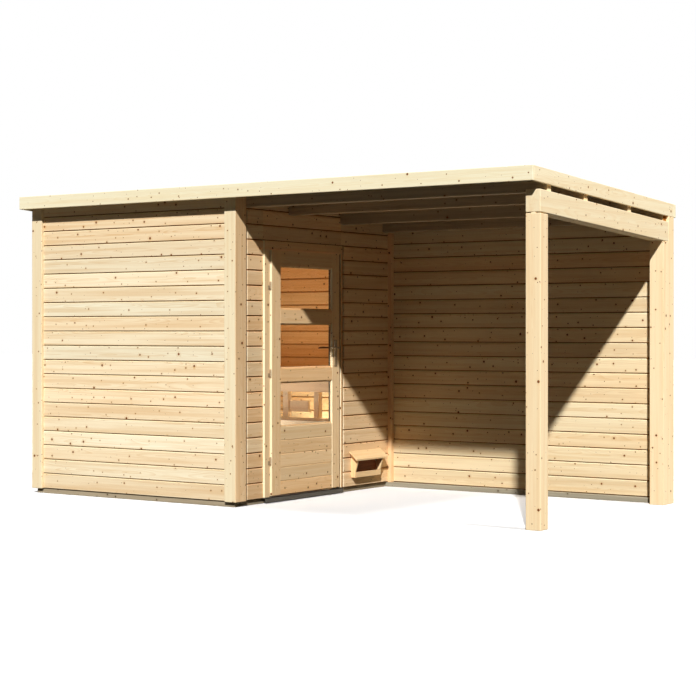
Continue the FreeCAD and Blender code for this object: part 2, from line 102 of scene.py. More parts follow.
class Timbers:
    """The boards of one piece. Each board has its own run of grain and its own tone."""

    def __init__(self, name):
        self.name = name
        self.mesh = bmesh.new()
        self.grain = self.mesh.verts.layers.float_vector.new("grain")
        self.look = self.mesh.verts.layers.float_vector.new("board_look")
        self.face_grain = self.mesh.loops.layers.uv.new("face_grain")
        self.chance = random.Random("spruce " + name)

    def fresh(self):
        return [v for v in self.mesh.verts if v[self.look].length_squared == 0.0]

    def profile(self, section, axis, start, end):
        """Draws a section of a few corners out along an axis."""
        ring = [self.mesh.verts.new(point(axis, start, a, b)) for a, b in section]
        cap = self.mesh.faces.new(ring)
        drawn = bmesh.ops.extrude_face_region(self.mesh, geom=[cap])["geom"]
        moved = [v for v in drawn if isinstance(v, bmesh.types.BMVert)]
        bmesh.ops.translate(self.mesh, verts=moved, vec=point(axis, end - start, 0.0, 0.0))
        self.outwards()

    def outwards(self):
        faces = set()
        for v in self.fresh():
            faces.update(v.link_faces)
        bmesh.ops.recalc_face_normals(self.mesh, faces=list(faces))

    def ease(self, width, segments, only_along=None):
        """Takes the sharp edges off the board just made."""
        edges = set()
        for v in self.fresh():
            edges.update(v.link_edges)
        if only_along:
            lane = AXES.index(only_along)
            edges = [e for e in edges
                     if abs((e.verts[0].co - e.verts[1].co).normalized()[lane]) > 0.98]
        edges = sorted(edges, key=lambda e: tuple(e.verts[0].co) + tuple(e.verts[1].co))
        bmesh.ops.bevel(self.mesh, geom=edges, offset=width, offset_type="OFFSET",
                        segments=segments, profile=0.5, affect="EDGES", material=-1)

    def cut_under(self, line):
        """Cuts the board just made along a line of the roof."""
        fresh = self.fresh()
        if max(v.co.z - roof_line(line, v.co.y) for v in fresh) <= 0.0:
            return True
        geom = set(fresh)
        for v in fresh:
            geom.update(v.link_edges)
            geom.update(v.link_faces)
        cut = bmesh.ops.bisect_plane(
            self.mesh, geom=list(geom), plane_co=(0.0, ROOF_FRONT, line),
            plane_no=(0.0, ROOF_FALL, 1.0), clear_outer=True)["geom_cut"]
        rim = [e for e in cut if isinstance(e, bmesh.types.BMEdge)]
        if rim:
            bmesh.ops.edgeloop_fill(self.mesh, edges=rim)
            self.outwards()
        return bool(self.fresh())

    def grown(self, along, wide=None):
        """Gives the board just made its grain, and closes it as finished."""
        fresh = self.fresh()
        if not fresh:
            return
        low = Vector([min(v.co[i] for v in fresh) for i in range(3)])
        high = Vector([max(v.co[i] for v in fresh) for i in range(3)])
        middle = (low + high) / 2
        u = AXES.index(along)
        others = [i for i in range(3) if i != u]
        others.sort(key=lambda i: low[i] - high[i])
        v_axis, w_axis = others
        if wide:
            v_axis = AXES.index(wide)
            w_axis = 3 - u - v_axis
        shift = self.chance.uniform(1.0, 30.0)
        faces = set()
        tone = [self.chance.uniform(0.02, 0.98) for _ in range(3)]
        for v in fresh:
            v[self.grain] = (v.co[u] + shift, v.co[v_axis] - middle[v_axis],
                             v.co[w_axis] - middle[w_axis])
            faces.update(v.link_faces)
        for face in faces:
            normal = [abs(n) for n in face.normal]
            side = normal.index(max(normal))
            for loop in face.loops:
                co = loop.vert.co
                if side == w_axis:
                    loop[self.face_grain].uv = (co[u] + shift, co[v_axis] - middle[v_axis])
                elif side == v_axis:
                    loop[self.face_grain].uv = (co[u] + shift, co[w_axis] - middle[w_axis] + 1.0)
                else:
                    # end grain shows a single spot of the pattern
                    loop[self.face_grain].uv = (40.0 + co[w_axis] * 0.01, co[v_axis] * 0.01)
        for v in fresh:
            v[self.look] = tone

    def plank(self, low, high, along, eased=0.002, segments=1, wide=None, line=None):
        """A squared timber between two corners."""
        a, b = [AXES.index(c) for c in ACROSS[along]]
        section = [(low[a], low[b]), (high[a], low[b]), (high[a], high[b]), (low[a], high[b])]
        k = AXES.index(along)
        self.profile(section, along, low[k], high[k])
        if line is not None and not self.cut_under(line):
            return
        if eased:
            self.ease(eased, segments)
        self.grown(along, wide)

    def finish(self, wood, body="cabin", slot=None, nodes=()):
        mesh = bpy.data.meshes.new(self.name)
        self.mesh.normal_update()
        self.mesh.to_mesh(mesh)
        self.mesh.free()
        return place_piece(self.name, mesh, wood, body, nodes)


def place_piece(name, mesh, finish, body, nodes):
    piece = bpy.data.objects.new(name, mesh)
    bpy.context.scene.collection.objects.link(piece)
    mesh.materials.append(finish)
    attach(piece, body)
    if nodes:
        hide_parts(*nodes)
    return piece


def refaced(piece, wood, holds):
    """Gives another wood to those faces of a piece for which a test holds."""
    piece.data.materials.append(wood)
    index = len(piece.data.materials) - 1
    for face in piece.data.polygons:
        if holds(face):
            face.material_index = index


# Finishes

def feed(tree, socket, value):
    if isinstance(value, bpy.types.NodeSocket):
        tree.links.new(value, socket)
    else:
        socket.default_value = value


def add(tree, kind, sockets=None, **settings):
    shader_node = tree.nodes.new(kind)
    for name, value in settings.items():
        setattr(shader_node, name, value)
    for key, value in (sockets or {}).items():
        feed(tree, shader_node.inputs[key], value)
    return shader_node


def sums(tree, operation, a, b=0.0, c=0.0):
    return add(tree, "ShaderNodeMath", {0: a, 1: b, 2: c}, operation=operation).outputs[0]


def times(tree, a, b):
    return sums(tree, "MULTIPLY", a, b)


def total(tree, *values):
    result = values[0]
    for value in values[1:]:
        result = sums(tree, "ADD", result, value)
    return result


def step(tree, value, start, end, low=0.0, high=1.0):
    """A smooth step from low at start to high at end."""
    return add(tree, "ShaderNodeMapRange",
               {"Value": value, "From Min": start, "From Max": end, "To Min": low,
                "To Max": high}, interpolation_type="SMOOTHSTEP").outputs[0]


def spot(tree, x, y, z=0.0):
    return add(tree, "ShaderNodeCombineXYZ", {0: x, 1: y, 2: z}).outputs[0]


def stretched(tree, parts, factors):
    """A place whose three coordinates are each multiplied by a factor."""
    return spot(tree, *(times(tree, part, factor) for part, factor in zip(parts, factors)))


def parts_of(tree, vector):
    return add(tree, "ShaderNodeSeparateXYZ", {0: vector}).outputs[:3]


def noise(tree, where, scale=1.0, detail=2.0, roughness=0.5):
    return add(tree, "ShaderNodeTexNoise",
               {"Vector": where, "Scale": scale, "Detail": detail, "Roughness": roughness},
               noise_dimensions="3D").outputs[0]


def blend(tree, amount, a, b, kind="MIX"):
    mix = add(tree, "ShaderNodeMix", data_type="RGBA", blend_type=kind)
    feed(tree, mix.inputs[0], amount)
    feed(tree, mix.inputs[6], a)
    feed(tree, mix.inputs[7], b)
    return mix.outputs[2]


def group(name, inputs, outputs):
    """A node group with named sockets: (name, kind, value) for inputs."""
    tree = bpy.data.node_groups.new(name, "ShaderNodeTree")
    for socket_name, kind, value in inputs:
        socket = tree.interface.new_socket(name=socket_name, in_out="INPUT",
                                           socket_type="NodeSocket" + kind)
        socket.default_value = value
    for socket_name, kind in outputs:
        tree.interface.new_socket(name=socket_name, in_out="OUTPUT",
                                  socket_type="NodeSocket" + kind)
    entry = tree.nodes.new("NodeGroupInput")
    way_out = tree.nodes.new("NodeGroupOutput")
    return tree, entry.outputs, way_out.inputs


def rgb(red, green, blue):
    """A colour written as it shows on screen, 0 to 255."""
    linear = []
    for part in (red, green, blue):
        c = part / 255.0
        linear.append(c / 12.92 if c <= 0.04045 else ((c + 0.055) / 1.055) ** 2.4)
    return (*linear, 1.0)


def knots(tree, where, per_metre, share, smallest, spread):
    """Masks of a scatter of knots: the knot, the bent grain around it and its dark rim."""
    cells = add(tree, "ShaderNodeTexVoronoi", {"Vector": where, "Scale": per_metre},
                voronoi_dimensions="2D")
    chance = parts_of(tree, cells.outputs["Color"])
    size = sums(tree, "MULTIPLY_ADD", times(tree, chance[1], chance[2]), spread, smallest)
    ratio = sums(tree, "DIVIDE", cells.outputs["Distance"], times(tree, size, per_metre))
    present = sums(tree, "LESS_THAN", chance[0], share)
    core = times(tree, step(tree, ratio, 1.1, 0.8), present)
    around = times(tree, step(tree, ratio, 3.4, 0.9), present)
    rim = times(tree, core, step(tree, ratio, 0.55, 0.95))
    return core, around, rim


def make_spruce_grain():
    tree, given, out = group(
        "spruce grain",
        [("Early wood", "Color", rgb(246, 219, 170)), ("Late wood", "Color", rgb(224, 180, 122)),
         ("Knot", "Color", rgb(84, 48, 26)), ("Ring width", "Float", 0.0045),
         ("Knots", "Float", 0.5), ("Tone spread", "Float", 0.16), ("Peach", "Float", 0.55)],
        [("Color", "Color"), ("Roughness", "Float"), ("Height", "Float")])
    grain = add(tree, "ShaderNodeAttribute", attribute_name="grain").outputs["Vector"]
    look = add(tree, "ShaderNodeAttribute", attribute_name="board_look").outputs["Vector"]
    face = add(tree, "ShaderNodeUVMap", uv_map="face_grain").outputs[0]
    u, v, w = parts_of(tree, grain)
    tone, warmth, pith = parts_of(tree, look)
    across_face = add(tree, "ShaderNodeVectorMath", {0: face, 1: spot(tree, 0.0, pith)},
                      operation="ADD").outputs[0]
    core, around, rim = knots(tree, across_face, 9.5, given["Knots"], smallest=0.0038,
                              spread=0.0074)
    pin = knots(tree, across_face, 17.0, times(tree, given["Knots"], 0.5), smallest=0.002,
                spread=0.0026)[0]
    # distance from the heart of the log, with a slow wander along the board
    wander = stretched(tree, (u, v, w), (0.9, 5.0, 5.0))
    drift = sums(tree, "MULTIPLY_ADD", noise(tree, wander), 0.07, -0.035)
    heart_v = sums(tree, "MULTIPLY_ADD", pith, -0.12, 0.06)
    heart_w = sums(tree, "MULTIPLY_ADD", tone, 0.07, 0.03)
    from_v = total(tree, v, heart_v, drift)
    from_w = total(tree, w, heart_w, drift)
    radius = sums(tree, "SQRT", total(tree, times(tree, from_v, from_v),
                                      times(tree, from_w, from_w)))
    radius = sums(tree, "MULTIPLY_ADD", around, 0.006, radius)
    ring = sums(tree, "FRACT", sums(tree, "DIVIDE", radius, given["Ring width"]))
    late = times(tree, step(tree, ring, 0.35, 0.92), step(tree, ring, 1.0, 0.95))
    streaks = stretched(tree, (u, v, w), (0.8, 34.0, 34.0))
    streak = step(tree, noise(tree, streaks, 1.0, 3.0, 0.6), 0.36, 0.7)
    fibre = noise(tree, stretched(tree, (u, v, w), (9.0, 420.0, 420.0)))
    amount = total(tree, times(tree, late, 0.28), times(tree, streak, 0.5),
                   times(tree, around, 0.3))
    colour = blend(tree, amount, given["Early wood"], given["Late wood"])
    peach = blend(tree, times(tree, warmth, given["Peach"]), colour, rgb(255, 226, 196),
                  "MULTIPLY")
    shade = total(tree, 1.0,
                  times(tree, sums(tree, "SUBTRACT", tone, 0.5), given["Tone spread"]),
                  sums(tree, "MULTIPLY_ADD", fibre, 0.10, -0.05))
    shaded = add(tree, "ShaderNodeVectorMath", {0: peach, "Scale": shade},
                 operation="SCALE").outputs[0]
    knotted = blend(tree, core, shaded, given["Knot"])
    rimmed = blend(tree, times(tree, rim, 0.7), knotted, rgb(70, 32, 6))
    feed(tree, out["Color"], blend(tree, pin, rimmed, given["Knot"]))
    feed(tree, out["Roughness"], total(tree, 0.62, times(tree, fibre, 0.16),
                                       times(tree, core, -0.05)))
    feed(tree, out["Height"], total(tree, times(tree, late, 0.35), times(tree, fibre, 0.5),
                                    times(tree, core, 0.6), times(tree, streak, 0.25)))
    return tree


def bumped(tree, shader, height, strength, distance):
    bump = add(tree, "ShaderNodeBump",
               {"Height": height, "Strength": strength, "Distance": distance})
    feed(tree, shader.inputs["Normal"], bump.outputs[0])


def material(name):
    finish = bpy.data.materials.new(name)
    finish.use_nodes = True
    tree = finish.node_tree
    shader = tree.nodes["Principled BSDF"]
    return finish, tree, shader


def timber(name, early, late, knot=(124, 66, 10), knot_share=0.5, ring=0.0045, spread=0.16,
           gloss=0.2, relief=0.0007, peach=0.55):
    finish, tree, shader = material(name)
    grain = add(tree, "ShaderNodeGroup", node_tree=spruce_grain)
    for key, value in (("Early wood", rgb(*early)), ("Late wood", rgb(*late)),
                       ("Knot", rgb(*knot)), ("Ring width", ring), ("Knots", knot_share),
                       ("Tone spread", spread), ("Peach", peach)):
        grain.inputs[key].default_value = value
    feed(tree, shader.inputs["Base Color"], grain.outputs["Color"])
    feed(tree, shader.inputs["Roughness"], grain.outputs["Roughness"])
    shader.inputs["Specular IOR Level"].default_value = gloss
    bumped(tree, shader, grain.outputs["Height"], 0.6, relief)
    return finish


def make_wear():
    """Fine scratches and smudges for bare metal."""
    tree, _, out = group("metal wear", [], [("Mask", "Float"), ("Height", "Float")])
    where = add(tree, "ShaderNodeTexCoord").outputs["Object"]
    drawn = stretched(tree, parts_of(tree, where), (300.0, 20.0, 300.0))
    lines = noise(tree, drawn, 1.0, 3.0, 0.6)
    clouds = noise(tree, where, 14.0, 4.0, 0.6)
    feed(tree, out["Mask"], total(tree, times(tree, lines, 0.5), times(tree, clouds, 0.5)))
    feed(tree, out["Height"], lines)
    return tree


def metal(name, dark, light, roughness, metallic):
    finish, tree, shader = material(name)
    wear = add(tree, "ShaderNodeGroup", node_tree=metal_wear)
    feed(tree, shader.inputs["Base Color"],
         blend(tree, wear.outputs["Mask"], rgb(*dark), rgb(*light)))
    feed(tree, shader.inputs["Roughness"],
         sums(tree, "MULTIPLY_ADD", wear.outputs["Mask"], 0.35, roughness - 0.17))
    shader.inputs["Metallic"].default_value = metallic
    bumped(tree, shader, wear.outputs["Height"], 0.25, 0.0003)
    return finish


def roofing_felt():
    finish, tree, shader = material("roofing felt")
    where = add(tree, "ShaderNodeTexCoord").outputs["Object"]
    grit = add(tree, "ShaderNodeTexVoronoi", {"Vector": where, "Scale": 420.0},
               voronoi_dimensions="3D")
    shade = parts_of(tree, grit.outputs["Color"])[0]
    clouds = noise(tree, where, 2.2, 5.0, 0.6)
    amount = total(tree, times(tree, shade, 0.6), times(tree, clouds, 0.5))
    feed(tree, shader.inputs["Base Color"],
         blend(tree, amount, rgb(46, 50, 52), rgb(112, 118, 116)))
    shader.inputs["Roughness"].default_value = 0.92
    waves = noise(tree, where, 6.0, 2.0)
    height = total(tree, times(tree, grit.outputs["Distance"], 0.5), times(tree, waves, 3.0))
    bumped(tree, shader, height, 0.7, 0.001)
    return finish


def pane_glass():
    finish, tree, shader = material("door glass")
    shader.inputs["Base Color"].default_value = rgb(240, 248, 244)
    shader.inputs["Transmission Weight"].default_value = 1.0
    shader.inputs["IOR"].default_value = 1.45
    where = add(tree, "ShaderNodeTexCoord").outputs["Object"]
    smears = noise(tree, where, 9.0, 3.0)
    feed(tree, shader.inputs["Roughness"], step(tree, smears, 0.45, 0.9, 0.0, 0.05))
    return finish


spruce_grain = make_spruce_grain()
metal_wear = make_wear()
SPRUCE_BOARDS = timber("spruce boards", (255, 245, 214), (228, 194, 142), peach=0.5)
# painted highlight: a paler wood for the boards' upward bevels, where the sun falls on them
BEVEL_HIGHLIGHT_WOOD = timber("planed board edges", (255, 244, 204), (250, 226, 170), knot_share=0.0,
                     peach=0.2)
# painted shade: a darker wood for recesses, grooves and end faces that stand in shade
PAINTED_SHADE_WOOD = timber("wood in painted shade", (176, 118, 50), (136, 88, 34), knot_share=0.0,
                    gloss=0.0)
ROOM_BOARDS = timber("warm room boards", (246, 212, 158), (222, 176, 118), knot=(92, 48, 24),
                     relief=0.0005)
SPRUCE_POSTS = timber("spruce posts", (252, 238, 202), (240, 212, 164), knot_share=0.55,
                      ring=0.005)
SPRUCE_TRIM = timber("spruce trim", (255, 248, 216), (246, 228, 182), knot_share=0.55,
                     peach=0.2)
# painted shade: a darker copy of the spruce for the joists under the roof
SOFFIT_SHADE_JOISTS = timber("spruce joists", (190, 172, 140), (158, 138, 106), knot_share=0.35,
                       ring=0.006, peach=0.3)
# painted side light: a warmer, darker copy of the boards for the faces that the sun only grazes
SIDE_LIT_BOARDS = timber("warm spruce boards", (249, 222, 180), (228, 188, 134))
# painted shade: a warmer copy of the boards for the wall's face under the annex roof
ANNEX_SHADE_BOARDS = timber("annex boards", (248, 231, 192), (227, 195, 144))
HOOD_BOARDS = timber("vent hood boards", (250, 222, 174), (236, 198, 142), knot_share=0.3)
# painted side light: a warmer, darker copy of the post wood for faces that the sun only grazes,
# and for the upward bevels of the boards beside the door
SIDE_LIT_POSTS = timber("warm spruce posts", (250, 215, 167), (236, 189, 133), knot_share=0.55,
                    ring=0.005)
SPRUCE_DOOR = timber("spruce door", (252, 222, 176), (236, 195, 138), knot_share=0.45)
# painted shade: a darker copy of the spruce for the roof boards, seen only from below in the
# roof's shade
SOFFIT_SHADE_ROOF_BOARDS = timber("roof boards", (164, 149, 120), (134, 117, 90), spread=0.2, peach=0.3)
FLOOR_BOARDS = timber("floor boards", (238, 206, 152), (210, 164, 108), spread=0.2)
TREATED_WOOD = timber("treated sill timber", (178, 171, 150), (140, 132, 112),
                      knot=(96, 84, 60), knot_share=0.3, spread=0.3)
BENCH_WOOD = timber("bench wood", (240, 224, 202), (224, 200, 172), knot_share=0.12, ring=0.003,
                    peach=0.3)
# painted shade: a dark wood for the faces inside the vent hood's mouth
HOOD_INSIDE_SHADE = timber("painted shade inside the vent hood", (156, 100, 66), (120, 72, 46), knot_share=0.0)
SHADED_BEAD = timber("inner glazing bead", (104, 66, 38), (76, 44, 24), knot_share=0.0)
DARK_STEEL = metal("satin steel", (150, 128, 98), (200, 176, 140), 0.42, 0.5)
# painted shade: a darker copy of the handle steel for the inner handle, which shows in shade
# against the lit room
SHADED_INNER_STEEL = metal("inner handle steel in painted shade", (70, 40, 26), (104, 62, 40), 0.45, 0.5)
DARK_METAL = metal("threshold metal", (66, 63, 56), (104, 99, 88), 0.55, 0.35)
ROOF_FELT = roofing_felt()
DOOR_GLASS = pane_glass()


# Foundation and floor

def sills():
    for name, along in (("sill_front", "x"), ("sill_back", "x"), ("sill_left", "y"),
                        ("sill_door_side", "y")):
        sill = Timbers(name + "_timber")
        low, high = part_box(name)
        sill.plank(low, high, along, 0.003, 2)
        sill.finish(TREATED_WOOD, slot="treated_wood", nodes=[name])


def boards_between(timbers, low, high, along, across, width, gap, eased):
    """Lays equal boards side by side over a box, with a gap between them."""
    lane = AXES.index(across)
    reach = high[lane] - low[lane]
    count = max(1, round((reach + gap) / (width + gap)))
    pitch = (reach + gap) / count
    for number in range(count):
        start = Vector(low)
        end = Vector(high)
        start[lane] = low[lane] + number * pitch
        end[lane] = start[lane] + pitch - gap
        timbers.plank(start, end, along, eased)


def floor():
    boards = Timbers("cabin_floor_boards")
    low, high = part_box("cabin_floor")
    boards_between(boards, low, high, "x", "y", width=0.096, gap=0.0006, eased=0.0015)
    boards.finish(FLOOR_BOARDS, slot="floor_boards", nodes=["cabin_floor"])


# Posts and beam

def slope_section(start, end, low, high):
    """The side of a timber that runs with the roof, between two of its lines."""
    return [(start, roof_line(low, start)), (end, roof_line(low, end)),
            (end, roof_line(high, end)), (start, roof_line(high, start))]


def angle_post(name):
    """A corner post: an angle in plan, whose legs clasp the ends of two walls."""
    low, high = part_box(name)
    post = Timbers(name + "_timber")
    leg = 0.05
    back_leg = 0.038
    if name == "corner_post_front_left":
        plan = [(low.x, low.y), (high.x, low.y), (high.x, low.y + leg), (low.x + leg, low.y + leg),
                (low.x + leg, high.y), (low.x, high.y)]
    elif name == "corner_post_front_right":
        plan = [(low.x, low.y), (high.x, low.y), (high.x, high.y), (high.x - leg, high.y),
                (high.x - leg, low.y + leg), (low.x, low.y + leg)]
    else:
        plan = [(low.x, low.y), (low.x + leg, low.y), (low.x + leg, high.y - back_leg),
                (high.x, high.y - back_leg), (high.x, high.y), (low.x, high.y)]
    post.profile(plan, "z", low.z, roof_line(DECK_LOW, low.y) + CUT_OFF)
    post.cut_under(DECK_LOW)
    post.ease(0.004, 2)
    post.grown("z")
    piece = post.finish(SPRUCE_POSTS, slot="spruce_posts", nodes=[name])
    if name == "corner_post_front_right":
        # painted side light: the post's face towards the door gets the warmer, darker copy of its
        # wood
        refaced(piece, SIDE_LIT_POSTS, lambda face: face.normal.x > 0.6)


def posts():
    for name in ("corner_post_front_left", "corner_post_front_right", "corner_post_back_left"):
        angle_post(name)
    shoulder = 0.007
    shoulder_line = BEAM_LOW - shoulder
    low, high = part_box("annex_post_front")
    post = Timbers("annex_post_front_timber")
    post.plank(low, high + Vector((0, 0, CUT_OFF)), "z", 0.004, 2, line=shoulder_line)
    tenon_half = Vector((0.017, 0.0, 0.0))
    middle = (low.x + high.x) / 2
    post.plank(Vector((middle, low.y + 0.001, high.z - 0.05)) - tenon_half,
               Vector((middle, high.y - 0.001, high.z + CUT_OFF)) + tenon_half, "z",
               line=BEAM_LOW)
    post.finish(SPRUCE_POSTS, slot="spruce_posts", nodes=["annex_post_front"])
    low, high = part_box("annex_post_rear")
    tongue = low.y + 0.05
    notch = low.y + 0.1
    post = Timbers("annex_post_rear_timber")
    side = [(low.y, 0.0), (high.y, 0.0), (high.y, roof_line(FASCIA_LOW, high.y)),
            (notch, roof_line(FASCIA_LOW, notch)), (notch, roof_line(BEAM_LOW, notch)),
            (tongue, roof_line(BEAM_LOW, tongue)), (tongue, roof_line(shoulder_line, tongue)),
            (low.y, roof_line(shoulder_line, low.y))]
    post.profile(side, "x", low.x, high.x)
    post.ease(0.003, 2)
    post.grown("z", "x")
    post.finish(SPRUCE_POSTS, slot="spruce_posts", nodes=["annex_post_rear"])
    low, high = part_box("side_beam")
    beam = Timbers("side_beam_timber")
    beam.profile(slope_section(low.y, high.y, BEAM_LOW, JOIST_LOW), "x", low.x, high.x)
    beam.ease(0.004, 2)
    beam.grown("y", "z")
    beam.finish(SPRUCE_POSTS, slot="spruce_posts", nodes=["side_beam"])


# Walls

def board_section(near, far, low, high, gap, crown):
    """A wall board's profile: a recess as high as gap under it, a bevel on top where crown."""
    deep_near = near + JOINT_DEPTH
    deep_far = far - JOINT_DEPTH
    foot = low + gap
    lower = [(near, foot + EASED), (near + EASED, foot), (deep_near, foot), (deep_near, low),
             (deep_far, low), (deep_far, foot), (far - EASED, foot), (far, foot + EASED)]
    if crown:
        upper = [(far, high - JOINT_BEVEL), (deep_far, high), (deep_near, high),
                 (near, high - JOINT_BEVEL)]
    else:
        upper = [(far, high), (near, high)]
    return lower + upper


def wall(name, along, room=0, annex=0, gaps=(0.0, 0.0), gap_top=math.inf, first=FIRST_BOARD,
         cover=BOARD_COVER):
    """One wall of horizontal boards that meet in bevelled joints, cut to the roof.

    room and annex are the sides of the wall, +1 or -1, that face the cabin's warm room
    and the annex. gaps are the narrow joints at its two ends, where it meets a post, and
    gap_top is the height up to which the first one runs. first and cover are the heights
    of the lowest board and of the others.
    """
    low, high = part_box(name)
    boards = Timbers(name + "_boards")
    across = "y" if along == "x" else "x"
    a, b = AXES.index(along), AXES.index(across)
    joints = [low.z]
    height = low.z + first
    while height < high.z:
        joints.append(height)
        height += cover
    joints.append(high.z + 0.05)    # the roof line cuts the last board
    recess = ANNEX_GAP if annex else JOINT_GAP
    for number in range(len(joints) - 1):
        bottom = joints[number]
        top = joints[number + 1]
        crown = number < len(joints) - 2
        section = board_section(low[b], high[b], bottom, top, recess, crown)
        start = low[a] + (gaps[0] if top < gap_top else 0.0)
        boards.profile(section, along, start, high[a] - gaps[1])
        if boards.cut_under(DECK_LOW):
            boards.grown(along, "z")
    piece = boards.finish(SPRUCE_BOARDS, slot="spruce_boards", nodes=[name])
    beside_door = across == "x"
    piece.data.materials.append(PAINTED_SHADE_WOOD)
    piece.data.materials.append(ROOM_BOARDS)
    piece.data.materials.append(SIDE_LIT_POSTS if annex and beside_door else BEVEL_HIGHLIGHT_WOOD)
    piece.data.materials.append(SIDE_LIT_BOARDS if beside_door else ANNEX_SHADE_BOARDS)
    # painted light and shade by face: the recesses get the painted-shade wood, the upward bevels a
    # painted highlight, and the faces towards the annex a copy painted for their light, side light
    # beside the door and shade on the annex's back wall
    recess_shade, on_room_side, bevel_highlight, on_annex_side = range(1, 5)
    for face in piece.data.polygons:
        to_low = face.center[b] - low[b]
        to_high = high[b] - face.center[b]
        depth = min(to_low, to_high)
        from_room = to_high if room > 0 else to_low
        outward = face.normal[b]
        if abs(face.normal[a]) > 0.5 or depth > JOINT_DEPTH + 0.001:
            continue
        if depth > 0.003 and face.normal.z < 0.2:
            face.material_index = recess_shade
        elif face.normal.z > 0.5 and outward * room <= 0.0:
            face.material_index = bevel_highlight
        elif from_room < JOINT_DEPTH and outward * room > 0.2:
            face.material_index = on_room_side
        elif outward * annex > 0.2:
            face.material_index = on_annex_side


def walls():
    wall("front_wall", "x", 1, gaps=(END_JOINT, END_JOINT))
    wall("cabin_back_wall", "x", -1)
    wall("annex_back_wall", "x", annex=-1, first=ANNEX_FIRST, cover=ANNEX_COVER)
    wall("left_wall", "y", 1)
    over_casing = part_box("casing_head")[1].z + 0.02
    grooves = (("door_wall_front", CORNER_GROOVE, math.inf),
               ("door_wall_rear", CASING_GROOVE, over_casing))
    for name, width, top in grooves:
        wall(name, "y", -1, 1, (width, 0.0), top)
    # painted shadow: dark strips at the back of the grooves beside the corner post and the door
    # casing, where shade falls
    strips = Timbers("groove_strips")
    for name, width, top in grooves:
        low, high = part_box(name)
        strips.plank(low, (high.x - JOINT_DEPTH, low.y + width + 0.001, min(high.z, top)), "z",
                     0.0, line=DECK_LOW)
    strips.finish(PAINTED_SHADE_WOOD, slot="spruce_boards")
    # over the door, the joints stay level with those beside it
    over_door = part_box("door_wall_top")[0].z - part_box("front_wall")[0].z
    first_over = BOARD_COVER * math.ceil((over_door - FIRST_BOARD) / BOARD_COVER)
    wall("door_wall_top", "y", -1, 1, first=FIRST_BOARD + first_over - over_door)
    low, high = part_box("corner_batten")
    batten = Timbers("corner_batten_board")
    batten.plank(low, high, "z", 0.003, 2)
    # painted side light: the batten takes the warmer, darker copy of the post wood
    batten.finish(SIDE_LIT_POSTS, slot="spruce_trim", nodes=["corner_batten"])


# Roof

def joists():
    count = 4
    for number in range(1, count + 1):
        name = f"joist_{number}"
        low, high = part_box(name)
        joist = Timbers(name + "_timber")
        joist.profile(slope_section(low.y, high.y, JOIST_LOW, DECK_LOW), "x", low.x, high.x)
        joist.ease(0.004, 2)
        joist.grown("x", "z")
        piece = joist.finish(SOFFIT_SHADE_JOISTS, slot="spruce_joists", nodes=[name])
        # painted light and shade: the joists' ends get the paler post wood where they catch the
        # light, and the last, which lies in the shade of the rear post, the painted-shade wood
        end_wood = SPRUCE_POSTS if number < count else PAINTED_SHADE_WOOD
        refaced(piece, end_wood, lambda face: face.normal.x > 0.9)


def roof_deck():
    low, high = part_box("roof_deck")
    deck = Timbers("roof_deck_boards")
    count = 48
    gap = 0.0015
    pitch = (high.x - low.x) / count
    section = slope_section(low.y, high.y, DECK_LOW, DECK_TOP)
    for number in range(count):
        start = low.x + number * pitch
        deck.profile(section, "x", start, start + pitch - gap)
        deck.ease(0.0045, 1, "y")
        deck.grown("y", "x")
    deck.finish(SOFFIT_SHADE_ROOF_BOARDS, slot="roof_boards", nodes=["roof_deck"])


def roof_felt():
    """Three strips of felt, each lapped over the one behind it."""
    low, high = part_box("roof_felt")
    felt = Timbers("roof_felt_strips")
    strips = 3
    lap = 0.08
    sheet = 0.0012
    run = (high.y - low.y) / strips
    for number in range(strips):
        start = low.y + number * run
        end = min(start + run + lap, high.y)
        lift = sheet if number < strips - 1 else 0.0
        section = [(start, roof_line(DECK_TOP, start)), (end, roof_line(DECK_TOP + lift, end)),
                   (end, roof_line(FELT_TOP - sheet + lift, end)),
                   (start, roof_line(FELT_TOP - sheet, start))]
        felt.profile(section, "x", low.x, high.x)
        felt.grown("x", "y")
    felt.finish(ROOF_FELT, slot="roof_felt", nodes=["roof_felt"])


def fascias():
    for name, along in (("fascia_front", "x"), ("fascia_back", "x"), ("fascia_left", "y"),
                        ("fascia_right", "y")):
        low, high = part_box(name)
        fascia = Timbers(name + "_board")
        fascia.profile(slope_section(low.y, high.y, FASCIA_LOW, ROOF_TOP), "x", low.x, high.x)
        fascia.ease(0.0025, 2)
        fascia.grown(along, "z")
        fascia.finish(SPRUCE_POSTS if name == "fascia_right" else SPRUCE_TRIM,
                      slot="spruce_trim", nodes=[name])


# Door

def lit_front_edges(piece):
    """Gives a board's edges that look to the front the paler trim wood: a painted highlight where
    the sun falls on them.
    """
    refaced(piece, SPRUCE_TRIM, lambda face: face.normal.y < -0.6)


def door_casing():
    for name, along in (("casing_front", "z"), ("casing_rear", "z"), ("casing_head", "y")):
        low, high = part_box(name)
        board = Timbers(name + "_board")
        if name == "casing_rear":
            lip = low.y + 0.018
            groove = 0.022
            tuck = 0.002
            board.plank(low, (high.x, lip, high.z), along, 0.003, 2, wide="y")
            board.plank((high.x - 0.02, lip - tuck, low.z + 0.004),
                        (high.x - 0.01, lip + groove + tuck, high.z - 0.004), along, 0.0)
            low.y = lip + groove
        board.plank(low, high, along, 0.003, 2, wide="y" if along == "z" else "z")
        piece = board.finish(SPRUCE_DOOR, slot="spruce_trim", nodes=[name])
        lit_front_edges(piece)
        if name == "casing_rear":
            first = lip - tuck - TOUCH
            last = lip + groove + tuck + TOUCH
            # painted shade: the faces in the casing's groove get the dark painted-shade wood
            refaced(piece, PAINTED_SHADE_WOOD,
                    lambda face: first < face.center.y < last and face.normal.x > 0.9)


